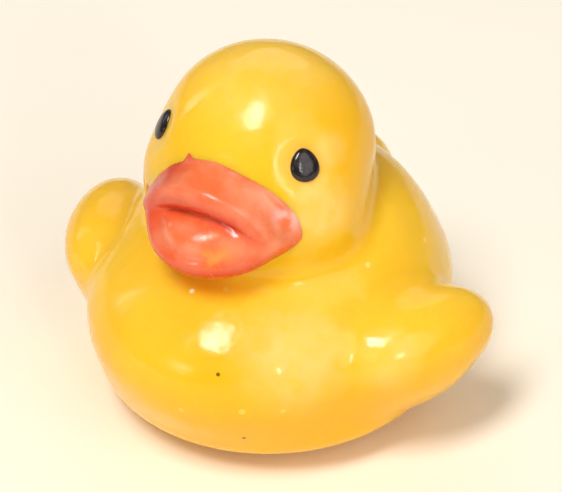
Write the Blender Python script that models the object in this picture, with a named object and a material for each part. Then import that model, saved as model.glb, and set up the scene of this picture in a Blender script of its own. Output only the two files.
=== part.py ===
"""A small squeezable bath duck, moulded in one piece, with a painted bill and painted eyes.

Units are metres and +Z is up. The duck looks along -Y, X = 0 is its plane of symmetry and the
origin is the middle of the flat face that it stands on. Its form is a set of rounded lobes
that blend into each other. The paint is three coats that follow the same form.
"""

import math
from dataclasses import dataclass

import bmesh
import bpy
import numpy as np
from mathutils import Euler, Matrix

MM = 0.001

# Driving sizes of the trunk
BODY_WIDTH = 38.0 * MM
BODY_LENGTH = 44.4 * MM
BODY_HEIGHT = 23.0 * MM
BODY_CENTRE_HEIGHT = 12.0 * MM

# The flatter seat under the trunk, set in from its sides and ends
SEAT_HEIGHT = 9.6 * MM
SEAT_SIDE_INSET = 0.8 * MM
SEAT_END_INSET = 5.5 * MM
SEAT_LEAD = 1.3 * MM
SEAT_CLEARANCE = 0.14 * MM
SEAT_BLEND = 5.0 * MM

# The high round rump behind the head
RUMP_HEIGHT = 26.6 * MM
RUMP_RISE = 4.0 * MM
RUMP_SETBACK = 3.2 * MM
RUMP_SIDE_INSET = 2.15 * MM
RUMP_END_INSET = 6.9 * MM
RUMP_BLEND = 3.0 * MM

# The small turned-up tail
TAIL_WIDTH = 8.4 * MM
TAIL_LENGTH = 9.8 * MM
TAIL_THICKNESS = 4.8 * MM
TAIL_RISE = 6.6 * MM
TAIL_END_INSET = 5.5 * MM
TAIL_PITCH = 30.0
TAIL_BLEND = 4.0 * MM

# Driving sizes of the head: a round crown with fuller cheeks in front of and below it
HEAD_WIDTH = 22.8 * MM
HEAD_DEPTH = 21.4 * MM
HEAD_HEIGHT = 21.4 * MM
HEAD_SINK = 3.3 * MM
FACE_SETBACK = 9.1 * MM
CHEEK_WIDTH = 24.8 * MM
CHEEK_DEPTH = 19.3 * MM
CHEEK_HEIGHT = 22.3 * MM
CHEEK_DROP = 4.0 * MM
CROWN_SETBACK = 2.8 * MM
CHEEK_BLEND = 1.5 * MM
NECK_BLEND = 2.2 * MM

# Driving sizes of the wings: a swept tip, with a root that runs into the breast
WING_SPAN = 50.66 * MM
WING_LENGTH = 17.9 * MM
WING_THICKNESS = 10.4 * MM
WING_SWEEP = 67.0
WING_LEAD = 1.9 * MM
WING_RISE = 1.4 * MM
WING_ROOT_LENGTH = 14.1 * MM
WING_ROOT_HEIGHT = 9.0 * MM
WING_ROOT_DEPTH = 9.4 * MM
WING_ROOT_SWEEP = 40.0
WING_ROOT_INSET = 2.55 * MM
WING_ROOT_LEAD = 3.3 * MM
WING_ROOT_DROP = 2.1 * MM
WING_BLEND = 3.0 * MM
WING_FILLET = 2.5 * MM

# Driving sizes of the bill: an arched upper half over a flatter lower half that reaches further
BILL_WIDTH = 18.7 * MM
BILL_RISE = 5.8 * MM
UPPER_BILL_LENGTH = 10.6 * MM
UPPER_BILL_THICKNESS = 4.6 * MM
UPPER_BILL_REACH = 2.4 * MM
UPPER_BILL_RISE = 2.4 * MM
UPPER_BILL_PITCH = 15.0
LIP_ARCH = 5.0 * MM
LOWER_BILL_LENGTH = 21.3 * MM
LOWER_BILL_HEIGHT = 7.0 * MM
LOWER_BILL_REACH = 4.6 * MM
LOWER_BILL_DROP = 2.4 * MM
LOWER_BILL_INSET = 0.3 * MM
LOWER_BILL_PITCH = 12.5
MOUTH_SHARPNESS = 0.9 * MM
MOUTH_END_SOFTNESS = 1.2 * MM
BILL_FILLET = 0.8 * MM

# The lip, the mouth under it and the tongue in it, in degrees as the core of the bill sees them
BILL_CORE_SETBACK = 5.8 * MM
BILL_CORE_DROP = 1.4 * MM
RIDGE_ANGLE = 30.5
RIDGE_HEIGHT = 0.3 * MM
RIDGE_SPREAD = 5.5
MOUTH_ANGLE = 12.0
MOUTH_DEPTH = 0.7 * MM
MOUTH_UPPER_SPREAD = 5.5
MOUTH_LOWER_SPREAD = 6.0
MOUTH_BOW = 0.0075
MOUTH_END_ANGLE = 58.0
MOUTH_FADE = 24.0
TONGUE_EDGE = 8.0
TONGUE_ANGLE = -1.0
TONGUE_HALF_WIDTH = 33.0
TONGUE_HALF_HEIGHT = 9.5
TONGUE_HEIGHT = 0.3 * MM
TONGUE_GROOVE = 0.4 * MM
TONGUE_GROOVE_SPREAD = 0.2
RIM_PLACE = 1.4
RIM_HEIGHT = 0.2 * MM
RIM_SPREAD = 0.2

# Driving sizes of the eyes
EYE_WIDTH = 2.85 * MM
EYE_HEIGHT = 3.2 * MM
EYE_AZIMUTH = 51.0
EYE_ELEVATION = 17.2
EYE_DISH_DEPTH = 0.35 * MM
EYE_DISH_RADIUS = 2.6 * MM

# Paint
PAINT_GAP = 0.3 * MM
MOUTH_CLEARANCE = 0.2 * MM
BILL_COAT = 0.25 * MM
EYE_COAT = 0.5 * MM
COAT_RIM = 0.12 * MM

# The coat on the bill is an oval as the core of the bill sees it: how far it reaches, in degrees
COAT_SIDE_ANGLE = 75.0
COAT_CORNER_ANGLE = -3.0
COAT_TOP_ANGLE = 60.0
COAT_BOTTOM_ANGLE = 36.0
COAT_TOP_FULLNESS = 1.85
COAT_BOTTOM_FULLNESS = 1.5

# Fineness of the meshes, and the steps that find a point of the surface
TRACE_STEPS = 60
SLOPE_STEP = 0.02 * MM
SLIVER = 0.02 * MM
MERGE_DISTANCE = 0.001 * MM
RELAX_STEPS = 4
SETTLE_STEPS = 3
LEAST_STEEPNESS = 0.2
LEAST_RIM_STEEPNESS = 0.01
BODY_CELL = 0.55 * MM
BODY_KEPT = 0.22
BILL_COLUMNS = 45
BILL_ROWS = 31
EYE_COLUMNS = 13
EYE_ROWS = 9


@dataclass(frozen=True)
class Lobe:
    """One rounded mass of the form: an ellipsoid with a centre, full sizes and a turn."""

    centre: tuple
    size: tuple
    turn: tuple = (0.0, 0.0, 0.0)

    def rotation(self):
        """Return the turn (degrees about X, Y and Z) as a matrix."""
        return Euler([math.radians(angle) for angle in self.turn]).to_matrix()

    def placement(self):
        """Return the matrix that takes a unit ball to this lobe."""
        radii = Matrix.Diagonal([side / 2 for side in self.size]).to_4x4()
        return Matrix.Translation(self.centre) @ self.rotation().to_4x4() @ radii

    def mirrored(self):
        """Return the same lobe on the duck's other side."""
        x, y, z = self.centre
        pitch, roll, yaw = self.turn
        return Lobe((-x, y, z), self.size, (pitch, -roll, -yaw))

    def distance(self, points):
        """Return how far each point lies outside the lobe (negative inside)."""
        radii = np.array(self.size) / 2
        local = (points - np.array(self.centre)) @ np.array(self.rotation())
        scaled = np.linalg.norm(local / radii, axis=-1)
        slope = np.linalg.norm(local / radii**2, axis=-1)
        return scaled * (scaled - 1) / np.maximum(slope, 1e-6)


def blend(first, second, radius):
    """Join two distances with a fillet of about the given radius."""
    share = np.clip(0.5 + 0.5 * (second - first) / radius, 0, 1)
    return second * (1 - share) + first * share - radius * share * (1 - share)


# Heights and depths that the head and bill take from the trunk that carries them
BODY_TOP = BODY_CENTRE_HEIGHT + BODY_HEIGHT / 2
BREAST_Y = -BODY_LENGTH / 2
HEAD_CENTRE_HEIGHT = BODY_TOP - HEAD_SINK + HEAD_HEIGHT / 2
BILL_CENTRE_HEIGHT = BODY_TOP + BILL_RISE
FACE_Y = BREAST_Y + FACE_SETBACK
CHEEK_Y = FACE_Y + CHEEK_DEPTH / 2

# How far a swept wing tip reaches sideways from its middle
WING_TURN = math.radians(WING_SWEEP)
WING_REACH = math.hypot(WING_LENGTH / 2 * math.cos(WING_TURN), WING_THICKNESS / 2 * math.sin(WING_TURN))

TRUNK = Lobe((0, 0, BODY_CENTRE_HEIGHT), (BODY_WIDTH, BODY_LENGTH, BODY_HEIGHT))
SEAT = Lobe(
    (0, -SEAT_LEAD, SEAT_HEIGHT / 2 + SEAT_CLEARANCE),
    (BODY_WIDTH - 2 * SEAT_SIDE_INSET, BODY_LENGTH - 2 * SEAT_END_INSET, SEAT_HEIGHT),
)
RUMP = Lobe(
    (0, RUMP_SETBACK, BODY_CENTRE_HEIGHT + RUMP_RISE),
    (BODY_WIDTH - 2 * RUMP_SIDE_INSET, BODY_LENGTH - 2 * RUMP_END_INSET, RUMP_HEIGHT),
)
TAIL = Lobe(
    (0, BODY_LENGTH / 2 - TAIL_END_INSET, BODY_CENTRE_HEIGHT + TAIL_RISE),
    (TAIL_WIDTH, TAIL_LENGTH, TAIL_THICKNESS),
    (TAIL_PITCH, 0, 0),
)
CROWN = Lobe((0, CHEEK_Y + CROWN_SETBACK, HEAD_CENTRE_HEIGHT), (HEAD_WIDTH, HEAD_DEPTH, HEAD_HEIGHT))
CHEEKS = Lobe((0, CHEEK_Y, HEAD_CENTRE_HEIGHT - CHEEK_DROP), (CHEEK_WIDTH, CHEEK_DEPTH, CHEEK_HEIGHT))
WING_TIP = Lobe(
    (WING_SPAN / 2 - WING_REACH, -WING_LEAD, BODY_CENTRE_HEIGHT + WING_RISE),
    (WING_LENGTH, WING_THICKNESS, WING_THICKNESS),
    (0, 0, WING_SWEEP),
)
WING_ROOT = Lobe(
    (BODY_WIDTH / 2 - WING_ROOT_INSET, -WING_ROOT_LEAD, BODY_CENTRE_HEIGHT - WING_ROOT_DROP),
    (WING_ROOT_LENGTH, WING_ROOT_DEPTH, WING_ROOT_HEIGHT),
    (0, 0, WING_ROOT_SWEEP),
)
UPPER_BILL = Lobe(
    (0, FACE_Y - UPPER_BILL_REACH + UPPER_BILL_LENGTH / 2, BILL_CENTRE_HEIGHT + UPPER_BILL_RISE),
    (BILL_WIDTH, UPPER_BILL_LENGTH, UPPER_BILL_THICKNESS),
    (UPPER_BILL_PITCH, 0, 0),
)
LOWER_BILL = Lobe(
    (0, FACE_Y - LOWER_BILL_REACH + LOWER_BILL_LENGTH / 2, BILL_CENTRE_HEIGHT - LOWER_BILL_DROP),
    (BILL_WIDTH - 2 * LOWER_BILL_INSET, LOWER_BILL_LENGTH, LOWER_BILL_HEIGHT),
    (LOWER_BILL_PITCH, 0, 0),
)

# Points inside the bill and the head from which their whole surface is in plain sight
BILL_CORE = np.array((0, FACE_Y + BILL_CORE_SETBACK, BILL_CENTRE_HEIGHT - BILL_CORE_DROP))
HEAD_CORE = np.array(CROWN.centre)


def eye_direction(side):
    """Return the unit direction from the crown's centre to one eye (side is +1 or -1)."""
    azimuth = math.radians(EYE_AZIMUTH)
    elevation = math.radians(EYE_ELEVATION)
    level = math.cos(elevation)
    return np.array((side * math.sin(azimuth) * level, -math.cos(azimuth) * level, math.sin(elevation)))


def folded(points):
    """Return the points brought to the duck's left half, which both halves share."""
    half = points.copy()
    half[..., 0] = np.abs(half[..., 0])
    return half


def head_distance(points):
    """Return the distance from the crown and cheeks, without the bill."""
    return blend(CROWN.distance(points), CHEEKS.distance(points), CHEEK_BLEND)


def bill_distance(points, clearance):
    """Return the distance from the bill, whose upper half sinks towards its corners."""
    outward = points[..., 0] / (BILL_WIDTH / 2)
    arched = points.copy()
    arched[..., 2] += LIP_ARCH * outward**2
    softness = MOUTH_SHARPNESS + MOUTH_END_SOFTNESS * np.minimum(outward**4, 1)
    return blend(UPPER_BILL.distance(arched), LOWER_BILL.distance(points), softness) - bill_relief(points, clearance)


def bump(offset):
    """Return a smooth rise that is 1 at no offset and fades within an offset of about 2."""
    return np.exp(-(offset**2))


def bill_relief(points, clearance):
    """Return how far the lip, tongue and rim stand out of the plain bill, negative in the mouth.

    The clearance is how much deeper the mouth is than its painted depth.
    """
    sight = points - BILL_CORE
    azimuth = np.degrees(np.arctan2(sight[..., 0], -sight[..., 1]))
    elevation = np.degrees(np.arctan2(sight[..., 2], np.hypot(sight[..., 0], sight[..., 1])))
    level = elevation + MOUTH_BOW * np.minimum(np.abs(azimuth), 90) ** 2
    ridge = RIDGE_HEIGHT * bump((level - RIDGE_ANGLE) / RIDGE_SPREAD)
    above_mouth = level - MOUTH_ANGLE
    spread = np.where(above_mouth > 0, MOUTH_UPPER_SPREAD, MOUTH_LOWER_SPREAD)
    mouth = (MOUTH_DEPTH + clearance) * bump(above_mouth / spread)
    ring = np.hypot(azimuth / TONGUE_HALF_WIDTH, (elevation - TONGUE_ANGLE) / TONGUE_HALF_HEIGHT)
    tongue = TONGUE_HEIGHT * np.clip(1 - ring**2, 0, 1)
    groove = TONGUE_GROOVE * bump((ring - 1) / TONGUE_GROOVE_SPREAD)
    rim = RIM_HEIGHT * bump((ring - RIM_PLACE) / RIM_SPREAD)
    below_mouth = np.clip(0.5 - above_mouth / TONGUE_EDGE, 0, 1)
    fade = np.clip((MOUTH_END_ANGLE - np.abs(azimuth)) / MOUTH_FADE, 0, 1)
    return fade * (ridge - mouth + below_mouth * (tongue - groove + rim))


def eye_centre():
    """Return the point of the head's surface under the left eye."""
    return surface_points(HEAD_CORE, eye_direction(1)[None, :], 0.0, head_distance)[0]


def form_distance(points, clearance=0.0):
    """Return how far each point lies outside the whole duck (negative inside)."""
    half = folded(points)
    trunk = blend(TRUNK.distance(half), SEAT.distance(half), SEAT_BLEND)
    trunk = blend(trunk, RUMP.distance(half), RUMP_BLEND)
    trunk = blend(trunk, TAIL.distance(half), TAIL_BLEND)
    wing = blend(WING_TIP.distance(half), WING_ROOT.distance(half), WING_BLEND)
    reach = np.linalg.norm(half - EYE_CENTRE, axis=-1) / EYE_DISH_RADIUS
    head = head_distance(half) + EYE_DISH_DEPTH * np.exp(-(reach**2))
    duck = blend(blend(trunk, head, NECK_BLEND), wing, WING_FILLET)
    return blend(duck, bill_distance(half, clearance), BILL_FILLET)


def body_distance(points):
    """Return the distance from the moulding, whose mouth leaves room for its coat of paint."""
    return form_distance(points, MOUTH_CLEARANCE)


def surface_points(core, directions, level, distance):
    """Return where rays from a point inside first reach the given height above the surface."""
    reach = np.zeros(len(directions))
    for _ in range(TRACE_STEPS):
        reach += level - distance(core + directions * reach[:, None])
    return core + directions * reach[:, None]


EYE_CENTRE = eye_centre()


def body_slopes(points):
    """Return how the moulding's distance grows along X, Y and Z at the points."""
    shifts = np.eye(3) * SLOPE_STEP
    rises = [body_distance(points + shift) - body_distance(points - shift) for shift in shifts]
    return np.stack(rises, axis=-1) / (2 * SLOPE_STEP)


def settle_on_body(bm):
    """Move every vertex straight onto the surface of the moulding."""
    points = np.array([vert.co for vert in bm.verts])
    for _ in range(SETTLE_STEPS):
        slopes = body_slopes(points)
        steepness = np.sum(slopes**2, axis=-1, keepdims=True)
        points -= body_distance(points)[:, None] * slopes / np.maximum(steepness, LEAST_STEEPNESS)
    for vert, point in zip(bm.verts, points):
        vert.co = point


def settle_rim(rim):
    """Move the rim of the flat base, within its plane, onto the surface of the moulding."""
    points = np.array([vert.co for vert in rim])
    for _ in range(SETTLE_STEPS):
        slopes = body_slopes(points) * (1, 1, 0)
        steepness = np.sum(slopes**2, axis=-1, keepdims=True)
        points -= body_distance(points)[:, None] * slopes / np.maximum(steepness, LEAST_RIM_STEEPNESS)
    for vert, point in zip(rim, points):
        vert.co = point


def relax(bm, rounds):
    """Even out the mesh, and bring it back to the form after each round."""
    for _ in range(rounds):
        bmesh.ops.smooth_vert(bm, verts=bm.verts, factor=0.5, use_axis_x=True, use_axis_y=True, use_axis_z=True)
        settle_on_body(bm)


def finish(material_name, colour, roughness):
    """Return a plain material with the given linear colour."""
    material = bpy.data.materials.new(material_name)
    material.use_nodes = True
    shader = material.node_tree.nodes["Principled BSDF"]
    shader.inputs["Base Color"].default_value = (*colour, 1.0)
    shader.inputs["Roughness"].default_value = roughness
    shader.inputs["Metallic"].default_value = 0.0
    return material


def add_object(name, bm, material):
    """Put a finished mesh into the scene as one smooth-shaded object."""
    mesh = bpy.data.meshes.new(name)
    bm.to_mesh(mesh)
    bm.free()
    mesh.shade_smooth()
    mesh.materials.append(material)
    piece = bpy.data.objects.new(name, mesh)
    bpy.context.collection.objects.link(piece)
    return piece


def evaluated_copy(piece):
    """Return the object's mesh with its modifiers applied, as a bmesh, and remove the object."""
    evaluated = piece.evaluated_get(bpy.context.evaluated_depsgraph_get())
    bm = bmesh.new()
    bm.from_mesh(evaluated.to_mesh())
    bpy.data.objects.remove(piece, do_unlink=True)
    return bm


def rough_form():
    """Return an even mesh around all lobes, close to the form, as a bmesh."""
    bm = bmesh.new()
    lobes = [TRUNK, SEAT, RUMP, TAIL, CROWN, CHEEKS, UPPER_BILL, LOWER_BILL]
    for lobe in (WING_TIP, WING_ROOT):
        lobes += [lobe, lobe.mirrored()]
    for lobe in lobes:
        bmesh.ops.create_icosphere(bm, subdivisions=4, radius=1.0, matrix=lobe.placement())
    guide = add_object("guide", bm, finish("guide", (0.5, 0.5, 0.5), 0.5))
    remesh = guide.modifiers.new("even_cells", "REMESH")
    remesh.mode = "VOXEL"
    remesh.voxel_size = BODY_CELL
    return evaluated_copy(guide)


def thinned(bm):
    """Return the mesh with fewer, larger triangles where the form is nearly flat."""
    bmesh.ops.triangulate(bm, faces=bm.faces)
    guide = add_object("guide", bm, finish("guide", (0.5, 0.5, 0.5), 0.5))
    decimate = guide.modifiers.new("fewer_triangles", "DECIMATE")
    decimate.ratio = BODY_KEPT
    return evaluated_copy(guide)


def cut_flat_base(bm):
    """Cut the underside flat at the height of the origin."""
    geometry = bm.verts[:] + bm.edges[:] + bm.faces[:]
    bmesh.ops.bisect_plane(bm, geom=geometry, plane_co=(0, 0, 0), plane_no=(0, 0, 1), clear_inner=True)
    rim = [edge for edge in bm.edges if edge.is_boundary]
    settle_rim([vert for vert in bm.verts if vert.is_boundary])
    bmesh.ops.edgeloop_fill(bm, edges=rim)
    bmesh.ops.dissolve_degenerate(bm, dist=SLIVER, edges=bm.edges)


def add_body():
    """Add the moulded duck: trunk, head, wings, tail and the bill's relief, all one solid."""
    bm = rough_form()
    relax(bm, RELAX_STEPS)
    bm = thinned(bm)
    cut_flat_base(bm)
    bmesh.ops.recalc_face_normals(bm, faces=bm.faces)
    return add_object("body", bm, finish("yellow_vinyl", (0.96, 0.58, 0.03), 0.25))


def lens(across, fullness):
    """Return how tall a pointed oval is at each place across it, as a share of its full height."""
    return (1 - np.abs(across) ** fullness) ** (1 / fullness)


def add_coat(name, core, directions, rim_share, thickness, roundness, material):
    """Add a coat of paint over the form, thickest in its middle and thin at its rim.

    The directions are a grid of rows and columns as seen from the core, and each row meets
    the others at both ends. The rim share is 1 at the rim. Both faces of the coat follow the
    form, at the paint gap and above it.
    """
    bm = bmesh.new()
    rows, columns = rim_share.shape
    fall = np.sqrt(np.clip(1 - rim_share**roundness, 0, 1))
    heights = (PAINT_GAP, PAINT_GAP + COAT_RIM + (thickness - COAT_RIM) * fall)
    sheets = []
    for height in heights:
        level = np.broadcast_to(height, rim_share.shape).ravel()
        points = surface_points(core, directions.reshape(-1, 3), level, form_distance)
        verts = [bm.verts.new(point) for point in points]
        sheets.append([verts[row * columns:(row + 1) * columns] for row in range(rows)])
    for sheet in sheets:
        for row in range(rows - 1):
            for column in range(columns - 1):
                low, high = sheet[row], sheet[row + 1]
                bm.faces.new((low[column], low[column + 1], high[column + 1], high[column]))
    for row in (0, rows - 1):
        under, over = sheets[0][row], sheets[1][row]
        for column in range(columns - 1):
            bm.faces.new((under[column], under[column + 1], over[column + 1], over[column]))
    bmesh.ops.remove_doubles(bm, verts=bm.verts, dist=MERGE_DISTANCE)
    bmesh.ops.recalc_face_normals(bm, faces=bm.faces)
    return add_object(name, bm, material)


def coat_grid(rows, columns):
    """Return the places of a coat's grid, across and up, and each one's share of the rim."""
    turn = np.linspace(-math.pi / 2, math.pi / 2, columns)
    across, up = np.meshgrid(np.sin(turn), np.linspace(-1, 1, rows))
    rim_share = np.sqrt(across**2 + up**2 * (1 - across**2))
    return across, up, rim_share


def add_bill_coat():
    """Add the coral paint that covers the bill, up to its pointed oval edge on the face."""
    across, up, rim_share = coat_grid(BILL_ROWS, BILL_COLUMNS)
    top = COAT_CORNER_ANGLE + COAT_TOP_ANGLE * lens(across, COAT_TOP_FULLNESS)
    bottom = COAT_CORNER_ANGLE - COAT_BOTTOM_ANGLE * lens(across, COAT_BOTTOM_FULLNESS)
    bow = MOUTH_ANGLE - COAT_CORNER_ANGLE - MOUTH_BOW * (COAT_SIDE_ANGLE * across) ** 2
    mouth = COAT_CORNER_ANGLE + bow * lens(across, COAT_BOTTOM_FULLNESS)
    elevation = np.radians(mouth + np.where(up > 0, top - mouth, mouth - bottom) * up)
    azimuth = np.radians(COAT_SIDE_ANGLE) * across
    level = np.cos(elevation)
    directions = np.stack([np.sin(azimuth) * level, -np.cos(azimuth) * level, np.sin(elevation)], axis=-1)
    coral = finish("coral_paint", (0.93, 0.22, 0.06), 0.3)
    return add_coat("bill_paint", BILL_CORE, directions, rim_share, BILL_COAT, 12, coral)


def add_eye(name, side):
    """Add one black eye: a drop of paint, narrower at its top, seated in its shallow dish."""
    outward = eye_direction(side)
    sideways = np.cross((0.0, 0.0, 1.0), outward)
    sideways /= np.linalg.norm(sideways)
    upward = np.cross(outward, sideways)
    radius = np.linalg.norm(EYE_CENTRE - HEAD_CORE)
    across, up, rim_share = coat_grid(EYE_ROWS, EYE_COLUMNS)
    up = up * np.sqrt(1 - across**2)
    width = EYE_WIDTH / 2 * across * (1 - 0.2 * up)
    height = EYE_HEIGHT / 2 * up
    directions = outward * radius + sideways * width[..., None] + upward * height[..., None]
    directions /= np.linalg.norm(directions, axis=-1, keepdims=True)
    black = finish(name + "_paint", (0.01, 0.008, 0.008), 0.15)
    return add_coat(name, HEAD_CORE, directions, rim_share, EYE_COAT, 2, black)


def main():
    """Clear the scene and build the duck."""
    for old in list(bpy.data.objects):
        bpy.data.objects.remove(old, do_unlink=True)
    add_body()
    add_bill_coat()
    add_eye("left_eye", 1)
    add_eye("right_eye", -1)


main()
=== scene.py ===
"""A small bath duck of soft yellow vinyl with a painted coral bill and painted black eyes.

The duck looks along -Y, X = 0 runs down its middle and it stands on the origin. Its form is a
set of rounded lobes that blend into each other. The moulded body and the coats of paint on it all
follow that one form. Sizes are in metres and angles in degrees.
"""

import logging
import math
from collections.abc import Callable
from dataclasses import dataclass, field
from enum import Enum

import bmesh
import bpy
import numpy as np
from mathutils import Euler, Matrix, Vector


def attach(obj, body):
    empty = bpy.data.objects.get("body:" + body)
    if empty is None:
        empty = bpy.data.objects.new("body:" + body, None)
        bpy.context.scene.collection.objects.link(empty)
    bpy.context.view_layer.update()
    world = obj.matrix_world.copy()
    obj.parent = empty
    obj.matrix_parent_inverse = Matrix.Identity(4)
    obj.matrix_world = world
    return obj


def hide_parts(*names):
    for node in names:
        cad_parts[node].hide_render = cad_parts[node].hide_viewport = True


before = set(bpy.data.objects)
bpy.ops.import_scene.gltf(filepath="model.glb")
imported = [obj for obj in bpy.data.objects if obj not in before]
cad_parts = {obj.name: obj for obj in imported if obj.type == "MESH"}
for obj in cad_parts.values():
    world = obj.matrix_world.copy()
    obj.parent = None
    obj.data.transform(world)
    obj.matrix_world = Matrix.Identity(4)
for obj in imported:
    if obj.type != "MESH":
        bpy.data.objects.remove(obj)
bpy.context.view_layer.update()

log = logging.getLogger("duck")

MM = 0.001
# The vertex attribute that holds the share of painted shade
PAINTED_SHADE = "painted_shade"
MERGE_DISTANCE = 0.001 * MM
# A lobe's distance is divided by no less than this slope, so that its middle has a distance too
LEAST_SLOPE = 1e-6
# The Mix node has a set of sockets for each kind of value, and these are its colours
MIX_FIRST = 6
MIX_SECOND = 7
MIX_RESULT = 2

Colour = tuple[float, float, float, float]
Measure = Callable[[np.ndarray], np.ndarray]
Layout = Callable[[np.ndarray, np.ndarray], tuple[np.ndarray, np.ndarray]]


class Side(Enum):
    """Which of the duck's own sides a piece is on. The value is its sign along X."""

    LEFT = 1
    RIGHT = -1


def srgb(code: str) -> Colour:
    """Turn a colour written as sRGB hex into the linear colour that a shader takes.

    Args:
        code: The colour as "#rrggbb".

    Returns:
        Linear red, green and blue, and an alpha of 1.
    """
    channels = [int(code[start:start + 2], 16) / 255 for start in (1, 3, 5)]
    linear = [c / 12.92 if c <= 0.04045 else ((c + 0.055) / 1.055) ** 2.4 for c in channels]
    return (*linear, 1.0)


def add_node(
    tree: bpy.types.NodeTree, kind: str, inputs: dict[str | int, object] | None = None, **settings: object,
) -> bpy.types.Node:
    """Add one shader node.

    Args:
        tree: The node tree that gets it.
        kind: The node's type name.
        inputs: For an input's name or number, its value or the output that feeds it.
        settings: The node's own properties.

    Returns:
        The new node.
    """
    node = tree.nodes.new(kind)
    for name, value in settings.items():
        setattr(node, name, value)
    for key, value in (inputs or {}).items():
        if isinstance(value, bpy.types.NodeSocket):
            tree.links.new(value, node.inputs[key])
        else:
            node.inputs[key].default_value = value
    return node


def new_material(name: str) -> tuple[bpy.types.Material, bpy.types.NodeTree, bpy.types.Node]:
    """Make an empty material.

    Args:
        name: The material's name.

    Returns:
        The material, its node tree and its output node.
    """
    material = bpy.data.materials.new(name)
    material.use_nodes = True
    tree = material.node_tree
    tree.nodes.clear()
    output = add_node(tree, "ShaderNodeOutputMaterial")
    return material, tree, output


def object_noise(tree: bpy.types.NodeTree, feature: float, detail: float = 2.0) -> bpy.types.NodeSocket:
    """Add noise that stays fixed to the piece.

    Args:
        tree: The node tree that gets it.
        feature: The size of one patch of the noise.
        detail: How many finer layers it has.

    Returns:
        The noise's value, around a half.
    """
    place = add_node(tree, "ShaderNodeTexCoord")
    noise = add_node(
        tree, "ShaderNodeTexNoise",
        {"Vector": place.outputs["Object"], "Scale": 1 / feature, "Detail": detail, "Roughness": 0.5},
    )
    return noise.outputs["Fac"]


def patches(
    tree: bpy.types.NodeTree, feature: float, low: float = 0.3, high: float = 0.7,
    detail: float = 2.0, least: float = 0.0, most: float = 1.0,
) -> bpy.types.NodeSocket:
    """Add soft patches that stay fixed to the piece.

    Args:
        tree: The node tree that gets them.
        feature: The size of one patch.
        low: The noise at and below which there is least.
        high: The noise at and above which there is most.
        detail: How many finer layers the noise has.
        least: The value between the patches.
        most: The value in a patch's middle.

    Returns:
        The patches' value.
    """
    stretch = add_node(
        tree, "ShaderNodeMapRange",
        {"Value": object_noise(tree, feature, detail), "From Min": low, "From Max": high,
         "To Min": least, "To Max": most},
        interpolation_type="SMOOTHSTEP",
    )
    return stretch.outputs["Result"]


def near_point(
    tree: bpy.types.NodeTree, point: tuple[float, float, float], inner: float, outer: float,
) -> bpy.types.NodeSocket:
    """Mark the surroundings of one point of a piece.

    Args:
        tree: The node tree that gets the nodes.
        point: The point.
        inner: The distance within which the mark is full.
        outer: The distance at which it has faded.

    Returns:
        1 at the point, falling to 0.
    """
    place = add_node(tree, "ShaderNodeTexCoord")
    reach = add_node(
        tree, "ShaderNodeVectorMath", {0: place.outputs["Object"], 1: point}, operation="DISTANCE",
    )
    fall = add_node(
        tree, "ShaderNodeMapRange",
        {"Value": reach.outputs["Value"], "From Min": inner, "From Max": outer,
         "To Min": 1.0, "To Max": 0.0},
        interpolation_type="SMOOTHSTEP",
    )
    return fall.outputs["Result"]


def tinted(
    tree: bpy.types.NodeTree, colour: bpy.types.NodeSocket | Colour, tint: str,
    *shares: bpy.types.NodeSocket | float,
) -> bpy.types.NodeSocket:
    """Lay a tint over a colour.

    Args:
        tree: The node tree that gets the nodes.
        colour: The colour underneath.
        tint: The tint as sRGB hex.
        shares: What is multiplied together for the tint's share.

    Returns:
        The tinted colour.
    """
    share = shares[0]
    for other in shares[1:]:
        both = add_node(tree, "ShaderNodeMath", {0: share, 1: other}, operation="MULTIPLY")
        share = both.outputs["Value"]
    mix = add_node(
        tree, "ShaderNodeMix", {0: share, MIX_FIRST: colour, MIX_SECOND: srgb(tint)}, data_type="RGBA",
    )
    return mix.outputs[MIX_RESULT]


@dataclass(frozen=True)
class Speck:
    """A tiny fleck on the vinyl."""

    point: tuple[float, float, float]
    radius: float
    colour: str


@dataclass(frozen=True)
class SheenPatch:
    """A painted sheen: a pale patch on the vinyl that stands in for a soft reflection, with its middle,
    its reach and how strong it is.
    """

    point: tuple[float, float, float]
    reach: float
    strength: float


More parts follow.
